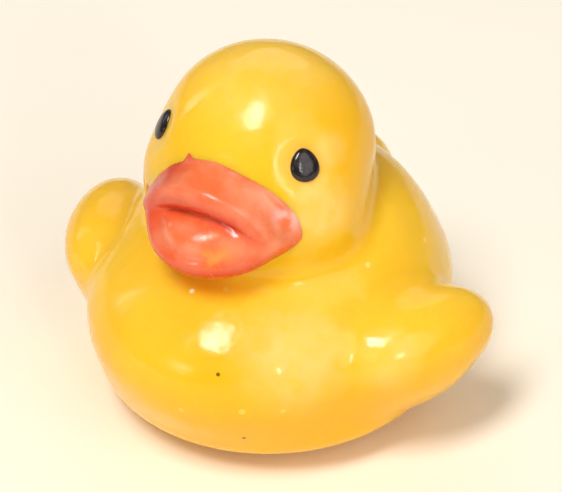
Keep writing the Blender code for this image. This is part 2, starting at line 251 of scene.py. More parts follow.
@dataclass(frozen=True)
class YellowVinyl:
    """Soft squeezable vinyl: light soaks in a little, so that its shadows stay warm and deep."""

    light: str = "#f6c428"
    deep: str = "#f3ba14"
    # The colour of the painted shade in the creases
    shaded: str = "#f8c01a"
    sheen_tint: str = "#f9dc92"
    cloud_size: float = 14.0 * MM
    mottle_size: float = 2.2 * MM
    least_mottle: float = 0.5
    # Painted sheen: upward-facing surfaces are made paler, as if they reflect the light from above
    top_sheen: float = 0.06
    top_sheen_starts: float = 0.1
    top_sheen_full: float = 0.9
    sheen_core: float = 0.35
    speck_core: float = 0.6
    wear_size: float = 4.0 * MM
    roughness_low: float = 0.11
    roughness_high: float = 0.24
    ior: float = 1.42
    soak: float = 0.7
    soak_depth: float = 5.0 * MM
    soak_by_colour: tuple[float, float, float] = (1.0, 0.5, 0.05)
    grain_size: float = 0.8 * MM
    grain_depth: float = 0.008 * MM
    ripple_size: float = 1.8 * MM
    ripple_depth: float = 0.07 * MM
    dent_size: float = 6.0 * MM
    dent_depth: float = 0.26 * MM
    # Painted sheens: pale patches that stand in for soft reflections on the crown, cheek, chest and wing
    sheens: tuple[SheenPatch, ...] = (
        SheenPatch((0.5 * MM, -2.5 * MM, 41.0 * MM), 10.0 * MM, 0.22),
        SheenPatch((11.8 * MM, -15.2 * MM, 16.6 * MM), 8.0 * MM, 0.38),
        SheenPatch((10.6 * MM, -7.6 * MM, 30.0 * MM), 4.6 * MM, 0.5),
        SheenPatch((9.8 * MM, -4.4 * MM, 35.0 * MM), 2.6 * MM, 0.35),
        SheenPatch((19.0 * MM, -8.5 * MM, 14.6 * MM), 4.5 * MM, 0.3),
    )
    specks: tuple[Speck, ...] = (
        Speck((-0.45 * MM, -15.21 * MM, 20.37 * MM), 0.34 * MM, "#fff2c8"),
        Speck((2.76 * MM, -13.74 * MM, 20.89 * MM), 0.35 * MM, "#f9d254"),
        Speck((5.75 * MM, -20.22 * MM, 15.23 * MM), 0.26 * MM, "#7a5a14"),
        Speck((7.77 * MM, -18.57 * MM, 6.78 * MM), 0.26 * MM, "#8a6a1c"),
        Speck((2.21 * MM, -21.84 * MM, 10.38 * MM), 0.4 * MM, "#f9d254"),
        Speck((8.36 * MM, -19.88 * MM, 11.25 * MM), 0.46 * MM, "#f9d254"),
        Speck((11.74 * MM, -17.37 * MM, 11.06 * MM), 0.36 * MM, "#f9d254"),
        Speck((13.68 * MM, -3.43 * MM, 21.67 * MM), 0.36 * MM, "#f8d878"),
        Speck((15.77 * MM, 5.31 * MM, 20.55 * MM), 0.36 * MM, "#f8d878"),
    )

    def material(self) -> bpy.types.Material:
        """Build the finish.

        Returns:
            The material.
        """
        material, tree, output = new_material("yellow_vinyl")
        wear = patches(tree, self.wear_size, least=self.roughness_low, most=self.roughness_high)
        grain = add_node(
            tree, "ShaderNodeBump",
            {"Height": object_noise(tree, self.grain_size, detail=3.0), "Strength": 1.0,
             "Distance": self.grain_depth},
        )
        ripple = add_node(
            tree, "ShaderNodeBump",
            {"Height": object_noise(tree, self.ripple_size, detail=1.0), "Strength": 1.0,
             "Distance": self.ripple_depth, "Normal": grain.outputs["Normal"]},
        )
        dent = add_node(
            tree, "ShaderNodeBump",
            {"Height": object_noise(tree, self.dent_size, detail=1.0), "Strength": 1.0,
             "Distance": self.dent_depth, "Normal": ripple.outputs["Normal"]},
        )
        shader = add_node(
            tree, "ShaderNodeBsdfPrincipled",
            {
                "Base Color": self.colour(tree),
                "Roughness": wear,
                "IOR": self.ior,
                "Subsurface Weight": self.soak,
                "Subsurface Radius": self.soak_by_colour,
                "Subsurface Scale": self.soak_depth,
                "Normal": dent.outputs["Normal"],
            },
        )
        tree.links.new(shader.outputs["BSDF"], output.inputs["Surface"])
        return material

    def colour(self, tree: bpy.types.NodeTree) -> bpy.types.NodeSocket:
        """Mix the clouded yellow, its painted sheens, its painted shade in the creases and its specks.

        Args:
            tree: The node tree that gets the nodes.

        Returns:
            The vinyl's colour.
        """
        cloud = patches(tree, self.cloud_size, detail=1.0)
        colour = tinted(tree, srgb(self.light), self.deep, cloud)
        mottle = patches(tree, self.mottle_size, detail=3.0, least=self.least_mottle)
        # Painted sheens: pale patches that stand in for soft reflections on the crown, cheek, chest and
        # wing
        for sheen in self.sheens:
            patch = near_point(tree, sheen.point, sheen.reach * self.sheen_core, sheen.reach)
            colour = tinted(tree, colour, self.sheen_tint, patch, mottle, sheen.strength)
        # Painted sheen: upward-facing surfaces are made paler, as if they reflect the light from above
        facing = add_node(tree, "ShaderNodeNewGeometry").outputs["Normal"]
        upward = add_node(tree, "ShaderNodeSeparateXYZ", {0: facing}).outputs["Z"]
        upward_sheen = add_node(
            tree, "ShaderNodeMapRange",
            {"Value": upward, "From Min": self.top_sheen_starts, "From Max": self.top_sheen_full,
             "To Min": 0.0, "To Max": self.top_sheen},
            interpolation_type="SMOOTHSTEP",
        )
        colour = tinted(tree, colour, self.sheen_tint, upward_sheen.outputs["Result"], mottle)
        # Painted shade: the creases of the neck and the wings are darkened
        crease = add_node(tree, "ShaderNodeAttribute", attribute_name=PAINTED_SHADE).outputs["Fac"]
        colour = tinted(tree, colour, self.shaded, crease)
        for speck in self.specks:
            mark = near_point(tree, speck.point, speck.radius * self.speck_core, speck.radius)
            colour = tinted(tree, colour, speck.colour, mark)
        return colour


@dataclass(frozen=True)
class CoralPaint:
    """Brushed coral enamel: glossy, slightly streaky, and thinner where the yellow shows through."""

    light: str = "#fa8a60"
    deep: str = "#f3703e"
    # The deeper red of the painted shade in the mouth and low down, and of the darker far right end
    shade_red: str = "#d8401e"
    cloud_size: float = 3.0 * MM
    thin: str = "#ef8c3c"
    thin_spot: tuple[float, float, float] = (2.82 * MM, -15.64 * MM, 26.42 * MM)
    thin_core: float = 0.8 * MM
    thin_reach: float = 2.6 * MM
    streak_size: float = 1.5 * MM
    # Painted sheen: a pale pink patch on one corner of the bill that stands in for a soft reflection
    corner_sheen: str = "#fcb3a6"
    corner_sheen_spot: tuple[float, float, float] = (8.1 * MM, -10.3 * MM, 29.6 * MM)
    corner_sheen_core: float = 0.3 * MM
    corner_sheen_reach: float = 2.4 * MM
    corner_sheen_mottle_size: float = 1.8 * MM
    wear_size: float = 2.0 * MM
    roughness_low: float = 0.18
    roughness_high: float = 0.32
    ior: float = 1.5
    soak: float = 0.35
    soak_depth: float = 1.2 * MM
    soak_by_colour: tuple[float, float, float] = (1.0, 0.4, 0.3)
    brush_size: float = 1.2 * MM
    brush_depth: float = 0.05 * MM

    def material(self) -> bpy.types.Material:
        """Build the finish.

        Returns:
            The material.
        """
        material, tree, output = new_material("coral_enamel")
        wear = patches(tree, self.wear_size, least=self.roughness_low, most=self.roughness_high)
        brush = add_node(
            tree, "ShaderNodeBump",
            {"Height": object_noise(tree, self.brush_size), "Strength": 1.0, "Distance": self.brush_depth},
        )
        shader = add_node(
            tree, "ShaderNodeBsdfPrincipled",
            {
                "Base Color": self.colour(tree),
                "Roughness": wear,
                "IOR": self.ior,
                "Subsurface Weight": self.soak,
                "Subsurface Radius": self.soak_by_colour,
                "Subsurface Scale": self.soak_depth,
                "Normal": brush.outputs["Normal"],
            },
        )
        tree.links.new(shader.outputs["BSDF"], output.inputs["Surface"])
        return material

    def colour(self, tree: bpy.types.NodeTree) -> bpy.types.NodeSocket:
        """Mix the clouded coral, the painted shade in the mouth and low down, the darker far right end,
        the thin streaks and the painted sheen on one corner.

        Args:
            tree: The node tree that gets the nodes.

        Returns:
            The paint's colour.
        """
        cloud = patches(tree, self.cloud_size, low=0.35, high=0.65)
        colour = tinted(tree, srgb(self.light), self.deep, cloud)
        # Painted shade: a deeper red in the mouth under the lip and low down, and darker towards the far
        # right end
        shade = add_node(tree, "ShaderNodeAttribute", attribute_name=PAINTED_SHADE).outputs["Fac"]
        colour = tinted(tree, colour, self.shade_red, shade)
        streak = patches(tree, self.streak_size, low=0.45, high=0.65)
        spot = near_point(tree, self.thin_spot, self.thin_core, self.thin_reach)
        colour = tinted(tree, colour, self.thin, streak, spot)
        # Painted sheen: a pale pink patch on one corner of the bill that stands in for a soft reflection
        corner_sheen_mottle = patches(tree, self.corner_sheen_mottle_size, low=0.35, high=0.6)
        corner = near_point(tree, self.corner_sheen_spot, self.corner_sheen_core, self.corner_sheen_reach)
        return tinted(tree, colour, self.corner_sheen, corner_sheen_mottle, corner)


@dataclass(frozen=True)
class BlackEnamel:
    """A drop of glossy black enamel, faintly warm where it has dried thin."""

    deep: str = "#1d1516"
    thin: str = "#34282a"
    cloud_size: float = 0.7 * MM
    roughness: float = 0.16
    ior: float = 1.5
    ripple_size: float = 0.9 * MM
    ripple_depth: float = 0.03 * MM

    def material(self) -> bpy.types.Material:
        """Build the finish.

        Returns:
            The material.
        """
        material, tree, output = new_material("black_enamel")
        cloud = patches(tree, self.cloud_size, low=0.4)
        ripple = add_node(
            tree, "ShaderNodeBump",
            {"Height": object_noise(tree, self.ripple_size), "Strength": 1.0,
             "Distance": self.ripple_depth},
        )
        shader = add_node(
            tree, "ShaderNodeBsdfPrincipled",
            {
                "Base Color": tinted(tree, srgb(self.deep), self.thin, cloud),
                "Roughness": self.roughness,
                "IOR": self.ior,
                "Normal": ripple.outputs["Normal"],
            },
        )
        tree.links.new(shader.outputs["BSDF"], output.inputs["Surface"])
        return material


@dataclass(frozen=True)
class CreamPaper:
    """Matt cream paper, a touch paler towards the back."""

    near: str = "#fff2de"
    far: str = "#fff6e4"
    near_place: float = -40.0 * MM
    far_place: float = 60.0 * MM
    roughness: float = 0.9

    def material(self) -> bpy.types.Material:
        """Build the finish.

        Returns:
            The material.
        """
        material, tree, output = new_material("cream_paper")
        place = add_node(tree, "ShaderNodeTexCoord")
        axes = add_node(tree, "ShaderNodeSeparateXYZ", {0: place.outputs["Object"]})
        depth = add_node(
            tree, "ShaderNodeMapRange",
            {"Value": axes.outputs["Y"], "From Min": self.near_place, "From Max": self.far_place},
            interpolation_type="SMOOTHSTEP",
        )
        shader = add_node(
            tree, "ShaderNodeBsdfPrincipled",
            {"Base Color": tinted(tree, srgb(self.near), self.far, depth.outputs["Result"]),
             "Roughness": self.roughness},
        )
        tree.links.new(shader.outputs["BSDF"], output.inputs["Surface"])
        return material


@dataclass(frozen=True)
class Lobe:
    """One rounded mass of the form: an ellipsoid with a centre, full sizes and a turn in degrees."""

    centre: tuple[float, float, float]
    size: tuple[float, float, float]
    turn: tuple[float, float, float] = (0.0, 0.0, 0.0)

    def rotation(self) -> Matrix:
        """Return the turn as a matrix."""
        return Euler([math.radians(angle) for angle in self.turn]).to_matrix()

    def placement(self) -> Matrix:
        """Return the matrix that takes a unit ball to this lobe."""
        radii = Matrix.Diagonal([side / 2 for side in self.size]).to_4x4()
        return Matrix.Translation(self.centre) @ self.rotation().to_4x4() @ radii

    def mirrored(self) -> "Lobe":
        """Return the same lobe on the duck's other side."""
        x, y, z = self.centre
        pitch, roll, yaw = self.turn
        return Lobe((-x, y, z), self.size, (pitch, -roll, -yaw))

    def distance(self, points: np.ndarray) -> np.ndarray:
        """Measure how far points lie outside the lobe.

        Args:
            points: Places in the duck's frame.

        Returns:
            About the distance of each, negative inside.
        """
        radii = np.array(self.size) / 2
        local = (points - np.array(self.centre)) @ np.array(self.rotation())
        scaled = np.linalg.norm(local / radii, axis=-1)
        slope = np.linalg.norm(local / radii**2, axis=-1)
        return scaled * (scaled - 1) / np.maximum(slope, LEAST_SLOPE)


def blended(first: np.ndarray, second: np.ndarray, radius: float) -> np.ndarray:
    """Join two distances with a fillet.

    Args:
        first: Distances from one form.
        second: Distances from the other.
        radius: About the fillet's radius.

    Returns:
        Distances from both together.
    """
    share = np.clip(0.5 + 0.5 * (second - first) / radius, 0, 1)
    return second * (1 - share) + first * share - radius * share * (1 - share)


@dataclass
class DuckForm:
    """The shape that the moulded body and the coats of paint all follow."""

    # Trunk, with the seat that it stands on
    body_width: float = 38.0 * MM
    body_length: float = 44.4 * MM
    body_height: float = 23.0 * MM
    body_centre_height: float = 12.0 * MM
    seat_height: float = 9.6 * MM
    seat_side_inset: float = 0.8 * MM
    seat_end_inset: float = 5.5 * MM
    seat_lead: float = 1.3 * MM
    seat_clearance: float = 0.14 * MM
    seat_blend: float = 5.0 * MM
    # Rump and tail
    rump_height: float = 26.6 * MM
    rump_rise: float = 4.0 * MM
    rump_setback: float = 3.2 * MM
    rump_side_inset: float = 2.15 * MM
    rump_end_inset: float = 6.9 * MM
    rump_blend: float = 3.0 * MM
    tail_size: tuple[float, float, float] = (8.4 * MM, 9.8 * MM, 4.8 * MM)
    tail_rise: float = 6.6 * MM
    tail_end_inset: float = 5.5 * MM
    tail_pitch: float = 30.0
    tail_blend: float = 4.0 * MM
    # Head
    head_size: tuple[float, float, float] = (22.8 * MM, 21.4 * MM, 21.4 * MM)
    head_sink: float = 3.3 * MM
    face_setback: float = 9.1 * MM
    cheek_size: tuple[float, float, float] = (24.8 * MM, 19.3 * MM, 22.3 * MM)
    cheek_drop: float = 4.0 * MM
    crown_setback: float = 2.8 * MM
    cheek_blend: float = 1.5 * MM
    neck_blend: float = 2.2 * MM
    # Wings
    wing_length: float = 17.9 * MM
    wing_thickness: float = 10.4 * MM
    wing_sweep: float = 67.0
    wing_standoff: float = 0.4 * MM
    wing_lead: float = 1.9 * MM
    wing_rise: float = 1.4 * MM
    wing_root_size: tuple[float, float, float] = (14.1 * MM, 9.4 * MM, 9.0 * MM)
    wing_root_sweep: float = 40.0
    wing_root_inset: float = 2.55 * MM
    wing_root_lead: float = 3.3 * MM
    wing_root_drop: float = 2.1 * MM
    wing_blend: float = 3.0 * MM
    wing_fillet: float = 2.5 * MM
    # Bill
    bill_width: float = 17.9 * MM
    bill_rise: float = 5.8 * MM
    upper_bill_length: float = 10.6 * MM
    upper_bill_thickness: float = 4.6 * MM
    upper_bill_reach: float = 2.4 * MM
    upper_bill_rise: float = 2.4 * MM
    upper_bill_pitch: float = 15.0
    lip_arch: float = 5.0 * MM
    lower_bill_length: float = 21.3 * MM
    lower_bill_height: float = 7.0 * MM
    lower_bill_reach: float = 4.6 * MM
    lower_bill_drop: float = 2.4 * MM
    lower_bill_inset: float = 0.3 * MM
    lower_bill_pitch: float = 12.5
    mouth_sharpness: float = 2.2 * MM
    corner_shave: float = 0.9 * MM
    corner_shave_power: int = 6
    bill_fillet: float = 0.8 * MM
    bill_core_setback: float = 5.8 * MM
    bill_core_drop: float = 1.4 * MM
    # Relief of the bill, as its core sees it
    ridge_angle: float = 30.5
    ridge_height: float = 0.3 * MM
    ridge_spread: float = 5.5
    mouth_angle: float = 14.5
    mouth_depth: float = 0.5 * MM
    mouth_upper_spread: float = 8.5
    mouth_lower_spread: float = 5.2
    mouth_bow: float = 0.007
    mouth_bow_end: float = 90.0
    mouth_end: float = 56.0
    mouth_fade: float = 26.0
    mouth_end_softness: float = 0.4 * MM
    mouth_end_power: int = 4
    tongue_azimuth: float = -1.0
    tongue_elevation: float = -1.0
    tongue_half_width: float = 32.0
    tongue_half_height: float = 10.0
    tongue_height: float = 0.7 * MM
    tongue_roundness: float = 1.6
    tongue_top_fade: float = 8.0
    tongue_groove: float = 0.12 * MM
    tongue_groove_spread: float = 0.28
    groove_fade: float = 30.0
    rim_place: float = 1.4
    rim_height: float = 0.12 * MM
    rim_spread: float = 0.2
    # Where the coral is painted darker: painted shade in the mouth and low down, and a darker far right
    # end
    mouth_shade_spread: float = 1.25
    edge_darkening: float = 0.9
    low_shade_start: float = 6.0
    low_shade_fade: float = 14.0
    right_darkening_start: float = 18.0
    right_darkening_fade: float = 24.0
    # Eyes, as the crown's middle sees them
    eye_azimuth: float = 51.0
    eye_elevation: float = 17.2
    right_eye_turn: float = 3.5
    right_eye_drop: float = 3.0
    eye_dish_depth: float = 0.3 * MM
    eye_dish_radius: float = 2.7 * MM
    eye_dish_power: int = 4
    # How far the painted shade in the creases reaches
    neck_shade_reach: float = 1.3 * MM
    wing_shade_reach: float = 0.7 * MM
    wing_shade: float = 0.35
    # How the surface is found
    trace_steps: int = 60
    slope_step: float = 0.02 * MM
    least_settling_slope: float = 0.2

    trunk_lobes: list[Lobe] = field(init=False)
    head_lobes: list[Lobe] = field(init=False)
    wing_lobes: list[Lobe] = field(init=False)
    bill_lobes: list[Lobe] = field(init=False)
    bill_core: np.ndarray = field(init=False)
    head_core: np.ndarray = field(init=False)
    eye_points: dict[Side, np.ndarray] = field(init=False)

    def __post_init__(self) -> None:
        """Work out the lobes from the sizes."""
        body_top = self.body_centre_height + self.body_height / 2
        head_height = body_top - self.head_sink + self.head_size[2] / 2
        bill_height = body_top + self.bill_rise
        face = self.face_setback - self.body_length / 2
        cheek = face + self.cheek_size[1] / 2
        self.trunk_lobes = [
            Lobe((0, 0, self.body_centre_height), (self.body_width, self.body_length, self.body_height)),
            Lobe(
                (0, -self.seat_lead, self.seat_height / 2 + self.seat_clearance),
                (self.body_width - 2 * self.seat_side_inset, self.body_length - 2 * self.seat_end_inset,
                 self.seat_height),
            ),
            Lobe(
                (0, self.rump_setback, self.body_centre_height + self.rump_rise),
                (self.body_width - 2 * self.rump_side_inset, self.body_length - 2 * self.rump_end_inset,
                 self.rump_height),
            ),
            Lobe(
                (0, self.body_length / 2 - self.tail_end_inset,
                 self.body_centre_height + self.tail_rise),
                self.tail_size, (self.tail_pitch, 0, 0),
            ),
        ]
        self.head_lobes = [
            Lobe((0, cheek + self.crown_setback, head_height), self.head_size),
            Lobe((0, cheek, head_height - self.cheek_drop), self.cheek_size),
        ]
        self.wing_lobes = [
            Lobe(
                (self.body_width / 2 + self.wing_standoff, -self.wing_lead,
                 self.body_centre_height + self.wing_rise),
                (self.wing_length, self.wing_thickness, self.wing_thickness), (0, 0, self.wing_sweep),
            ),
            Lobe(
                (self.body_width / 2 - self.wing_root_inset, -self.wing_root_lead,
                 self.body_centre_height - self.wing_root_drop),
                self.wing_root_size, (0, 0, self.wing_root_sweep),
            ),
        ]
        self.bill_lobes = [
            Lobe(
                (0, face - self.upper_bill_reach + self.upper_bill_length / 2,
                 bill_height + self.upper_bill_rise),
                (self.bill_width, self.upper_bill_length, self.upper_bill_thickness),
                (self.upper_bill_pitch, 0, 0),
            ),
            Lobe(
                (0, face - self.lower_bill_reach + self.lower_bill_length / 2,
                 bill_height - self.lower_bill_drop),
                (self.bill_width - 2 * self.lower_bill_inset, self.lower_bill_length,
                 self.lower_bill_height),
                (self.lower_bill_pitch, 0, 0),
            ),
        ]
        self.bill_core = np.array((0, face + self.bill_core_setback, bill_height - self.bill_core_drop))
        self.head_core = np.array(self.head_lobes[0].centre)
        self.eye_points = {
            side: self.traced(self.head_core, self.eye_direction(side)[None, :], 0.0, self.head)[0]
            for side in Side
        }

    def eye_direction(self, side: Side) -> np.ndarray:
        """Find where the crown's middle sees an eye.

        Args:
            side: The eye's side.

        Returns:
            The unit direction.
        """
        lag = side is Side.RIGHT
        azimuth = math.radians(self.eye_azimuth + self.right_eye_turn * lag)
        elevation = math.radians(self.eye_elevation - self.right_eye_drop * lag)
        level = math.cos(elevation)
        return np.array(
            (side.value * math.sin(azimuth) * level, -math.cos(azimuth) * level, math.sin(elevation))
        )

    def head(self, points: np.ndarray) -> np.ndarray:
        """Return the distances of points from the head without its bill."""
        crown, cheeks = self.head_lobes
        return blended(crown.distance(points), cheeks.distance(points), self.cheek_blend)

    def bill(self, points: np.ndarray) -> np.ndarray:
        """Measure how far points lie outside the bill, whose upper half sinks towards its corners.

        Args:
            points: Places in the duck's frame.

        Returns:
            About the distance of each, negative inside.
        """
        upper, lower = self.bill_lobes
        arched = points.copy()
        arched[..., 2] += self.lip_arch * (points[..., 0] / (self.bill_width / 2)) ** 2
        outward = np.minimum(np.abs(points[..., 0]) / (self.bill_width / 2), 1.0)
        softness = self.mouth_sharpness + self.mouth_end_softness * outward**self.mouth_end_power
        plain = blended(upper.distance(arched), lower.distance(points), softness)
        return plain + self.corner_shave * outward**self.corner_shave_power - self.bill_relief(points)

    def seen_from_bill(self, points: np.ndarray) -> tuple[np.ndarray, np.ndarray]:
        """Find where the bill's core sees points.

        Args:
            points: Places in the duck's frame.

        Returns:
            Their azimuths and elevations in degrees.
        """
        sight = points - self.bill_core
        level = np.hypot(sight[..., 0], sight[..., 1])
        azimuth = np.degrees(np.arctan2(sight[..., 0], -sight[..., 1]))
        return azimuth, np.degrees(np.arctan2(sight[..., 2], level))

    def bowed(self, azimuth: np.ndarray) -> np.ndarray:
        """Return how many degrees the mouth has dropped at each azimuth."""
        return self.mouth_bow * np.minimum(azimuth**2, self.mouth_bow_end**2)

    def from_mouth(self, above: np.ndarray) -> np.ndarray:
        """Return degrees above the mouth as shares of how far it spreads up or down."""
        return above / np.where(above > 0, self.mouth_upper_spread, self.mouth_lower_spread)

    def away_from_corners(self, azimuth: np.ndarray) -> np.ndarray:
        """Return 1 along the mouth, falling to 0 at its corners."""
        return np.clip((self.mouth_end - np.abs(azimuth)) / self.mouth_fade, 0, 1)

    def shade_share(self, points: np.ndarray) -> np.ndarray:
        """Find the share of deeper red: painted shade, most in the mouth and some low down, and a darker
        far right end.

        Args:
            points: Places in the duck's frame.

        Returns:
            The share at each, from 0 to 1.
        """
        azimuth, elevation = self.seen_from_bill(points)
        above_mouth = elevation - self.mouth_angle + self.bowed(azimuth)
        off = self.from_mouth(above_mouth) / self.mouth_shade_spread
        mouth = self.away_from_corners(azimuth) * np.exp(-(off**2))
        low = np.clip(-(elevation + self.low_shade_start) / self.low_shade_fade, 0, 1)
        far_right = np.clip(-(azimuth + self.right_darkening_start) / self.right_darkening_fade, 0, 1)
        return np.maximum(mouth, self.edge_darkening * np.maximum(low, far_right))

    def crease_share(self, points: np.ndarray) -> np.ndarray:
        """Find how much painted shade falls in the crease of the neck or of a wing.

        Args:
            points: Places in the duck's frame.

        Returns:
            The share at each, from 0 to 1.
        """
        half = points.copy()
        half[..., 0] = np.abs(half[..., 0])
        trunk = np.min([lobe.distance(half) for lobe in self.trunk_lobes], axis=0)
        head = np.minimum(self.head(half), self.bill(points))
        wing = np.min([lobe.distance(half) for lobe in self.wing_lobes], axis=0)
        neck = np.exp(-((np.maximum(trunk, head) / self.neck_shade_reach) ** 2))
        fold = np.exp(-((np.maximum(trunk, wing) / self.wing_shade_reach) ** 2))
        return np.clip(neck + self.wing_shade * fold, 0, 1)

    def bill_relief(self, points: np.ndarray) -> np.ndarray:
        """Measure the lip, the mouth and the tongue.

        Args:
            points: Places in the duck's frame.

        Returns:
            How far the bill stands out of its plain form there, negative in its hollows.
        """
        azimuth, elevation = self.seen_from_bill(points)
        bow = self.bowed(azimuth)
        above_ridge = (elevation - self.ridge_angle + bow) / self.ridge_spread
        ridge = self.ridge_height * np.exp(-(above_ridge**2))
        above_mouth = elevation - self.mouth_angle + bow
        mouth = self.mouth_depth * np.exp(-(self.from_mouth(above_mouth) ** 2))
        ring = np.hypot(
            (azimuth - self.tongue_azimuth) / self.tongue_half_width,
            (elevation - self.tongue_elevation) / self.tongue_half_height,
        )
        tongue = self.tongue_height * np.clip(1 - ring**2, 0, 1) ** self.tongue_roundness
        towards_right = np.clip(0.5 - azimuth / self.groove_fade, 0, 1)
        off_groove = (ring - 1) / self.tongue_groove_spread
        groove = self.tongue_groove * towards_right * np.exp(-(off_groove**2))
        off_rim = (ring - self.rim_place) / self.rim_spread
        rim = self.rim_height * towards_right * np.exp(-(off_rim**2))
        below = np.clip(0.5 - above_mouth / self.tongue_top_fade, 0, 1)
        return self.away_from_corners(azimuth) * (ridge - mouth + below * (tongue - groove + rim))

    def distance(self, points: np.ndarray) -> np.ndarray:
        """Measure how far points lie outside the whole duck.

        Args:
            points: Places in the duck's frame.

        Returns:
            About the distance of each, negative inside.
        """
        half = points.copy()
        half[..., 0] = np.abs(half[..., 0])
        trunk, seat, rump, tail = [lobe.distance(half) for lobe in self.trunk_lobes]
        trunk = blended(trunk, seat, self.seat_blend)
        trunk = blended(trunk, rump, self.rump_blend)
        trunk = blended(trunk, tail, self.tail_blend)
        tip, root = [lobe.distance(half) for lobe in self.wing_lobes]
        wing = blended(tip, root, self.wing_blend)
        head = self.head(half)
        for point in self.eye_points.values():
            reach = np.linalg.norm(points - point, axis=-1) / self.eye_dish_radius
            head = head + self.eye_dish_depth * np.exp(-(reach**self.eye_dish_power))
        duck = blended(blended(trunk, head, self.neck_blend), wing, self.wing_fillet)
        return blended(duck, self.bill(points), self.bill_fillet)

    def traced(
        self, core: np.ndarray, directions: np.ndarray, level: np.ndarray | float, distance: Measure,
    ) -> np.ndarray:
        """Find where rays from a point inside first reach a height above the surface.

        Args:
            core: The point inside.
            directions: The rays' unit directions.
            level: The height above the surface, for all or for each ray.
            distance: The form's distance function.

        Returns:
            One point for each ray.
        """
        reach = np.zeros(len(directions))
        for _ in range(self.trace_steps):
            reach += level - distance(core + directions * reach[:, None])
        return core + directions * reach[:, None]

    def slopes(self, points: np.ndarray) -> np.ndarray:
        """Find how the distance grows along X, Y and Z.

        Args:
            points: Places in the duck's frame.

        Returns:
            The three slopes at each.
        """
        rises = [
            self.distance(points + shift) - self.distance(points - shift)
            for shift in np.eye(3) * self.slope_step
        ]
        return np.stack(rises, axis=-1) / (2 * self.slope_step)

    def settle(self, bm: bmesh.types.BMesh, rounds: int = 3) -> None:
        """Move every vertex straight onto the surface.

        Args:
            bm: The mesh.
            rounds: How often the move is repeated.
        """
        points = np.array([vert.co for vert in bm.verts])
        for _ in range(rounds):
            slopes = self.slopes(points)
            steep = np.sum(slopes**2, axis=-1, keepdims=True)
            steep = np.maximum(steep, self.least_settling_slope)
            points -= self.distance(points)[:, None] * slopes / steep
        for vert, point in zip(bm.verts, points):
            vert.co = point


def add_piece(name: str, bm: bmesh.types.BMesh, material: bpy.types.Material) -> bpy.types.Object:
    """Put a finished mesh into the scene.

    Args:
        name: The piece's name.
        bm: Its mesh, which is used up.
        material: Its finish.

    Returns:
        The new object, at the origin.
    """
    mesh = bpy.data.meshes.new(name)
    bm.to_mesh(mesh)
    bm.free()
    mesh.shade_smooth()
    mesh.materials.append(material)
    piece = bpy.data.objects.new(name, mesh)
    bpy.context.collection.objects.link(piece)
    return piece


def write_painted_shade(piece: bpy.types.Object, share: Measure) -> None:
    """Write the share of painted shade at each vertex of a piece, for its finish to use.

    Args:
        piece: The piece.
        share: Gives the share for an array of places.
    """
    points = np.empty(3 * len(piece.data.vertices))
    piece.data.vertices.foreach_get("co", points)
    painted_shade = piece.data.attributes.new(PAINTED_SHADE, "FLOAT", "POINT")
    painted_shade.data.foreach_set("value", share(points.reshape(-1, 3)))


def stand_in_for(piece: bpy.types.Object, node: str) -> None:
    """Let a piece take the place of a CAD node.

    Args:
        piece: The finished piece.
        node: The node that it replaces.
    """
    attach(piece, "root")
    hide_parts(node)


